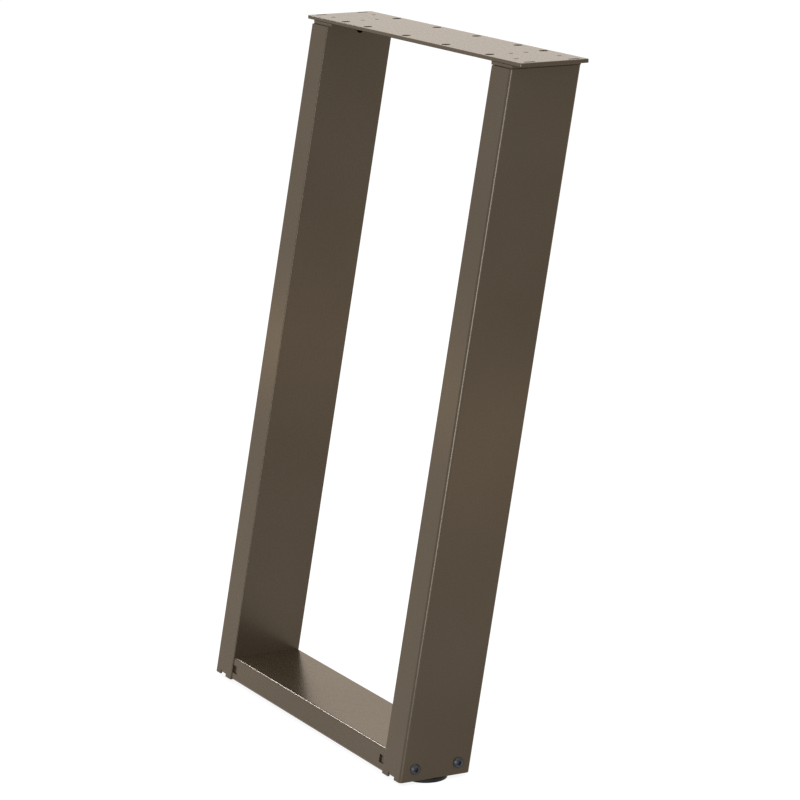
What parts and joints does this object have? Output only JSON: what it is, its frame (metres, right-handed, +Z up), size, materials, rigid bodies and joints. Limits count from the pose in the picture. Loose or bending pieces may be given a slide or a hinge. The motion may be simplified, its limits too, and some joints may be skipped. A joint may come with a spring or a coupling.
{
  "type": "table leg",
  "caption": "U-shaped steel table leg: leaning box-section posts hang from a drilled top plate and a folded crossbar joins them at the floor, on levelling pads.",
  "frame": {"origin": "middle of the top plate's upper face, which is screwed to the underside of a table top", "axes": "+X along the top plate towards the right post, +Y away from the side to which the posts lean at their feet, +Z up out of the top plate"},
  "size_m": [0.476, 0.2043, 0.72],
  "materials": {
    "powder_coat": "semi-gloss bronze-grey metallic powder coat",
    "zinc_steel": "zinc-plated steel",
    "dark_steel": "dark grey steel screws",
    "foot_plastic": "matt black plastic"
  },
  "bodies": {
    "frame": {"top_plate": "powder_coat", "crossbar": "powder_coat", "right_cap_plate": "powder_coat", "left_cap_plate": "powder_coat", "right_outer_shell": "powder_coat", "left_outer_shell": "powder_coat", "right_inner_panel": "powder_coat", "left_inner_panel": "powder_coat", "right_foot_plate": "powder_coat", "left_foot_plate": "powder_coat", "right_bar_bracket": "powder_coat", "left_bar_bracket": "powder_coat", "foot_nuts": "zinc_steel", "bar_nuts": "zinc_steel", "bar_bolts": "dark_steel", "bolt_sleeves": "zinc_steel"},
    "right_foot": {"right_foot_pad": "foot_plastic"},
    "left_foot": {"left_foot_pad": "foot_plastic"},
    "right_screw": {"right_foot_screw": "zinc_steel"},
    "left_screw": {"left_foot_screw": "zinc_steel"}
  },
  "joints": [
    {"name": "right_foot_lift", "type": "slide", "parent": "frame", "child": "right_foot", "axis": [0, 0, -1], "range_m": [0, 0.012]},
    {"name": "right_screw_turn", "type": "hinge", "parent": "right_foot", "child": "right_screw", "pos_m": [0.2035, -0.12621, -0.7], "axis": [0, 0, -1], "range_deg": [0, 3456]},
    {"name": "left_foot_lift", "type": "slide", "parent": "frame", "child": "left_foot", "axis": [0, 0, -1], "range_m": [0, 0.012]},
    {"name": "left_screw_turn", "type": "hinge", "parent": "left_foot", "child": "left_screw", "pos_m": [-0.2035, -0.12621, -0.7], "axis": [0, 0, -1], "range_deg": [0, 3456]}
  ],
  "couplings": [
    {"joint": "right_foot_lift", "follows": "right_screw_turn", "m_per_rad": 0.00019894},
    {"joint": "left_foot_lift", "follows": "left_screw_turn", "m_per_rad": 0.00019894}
  ]
}
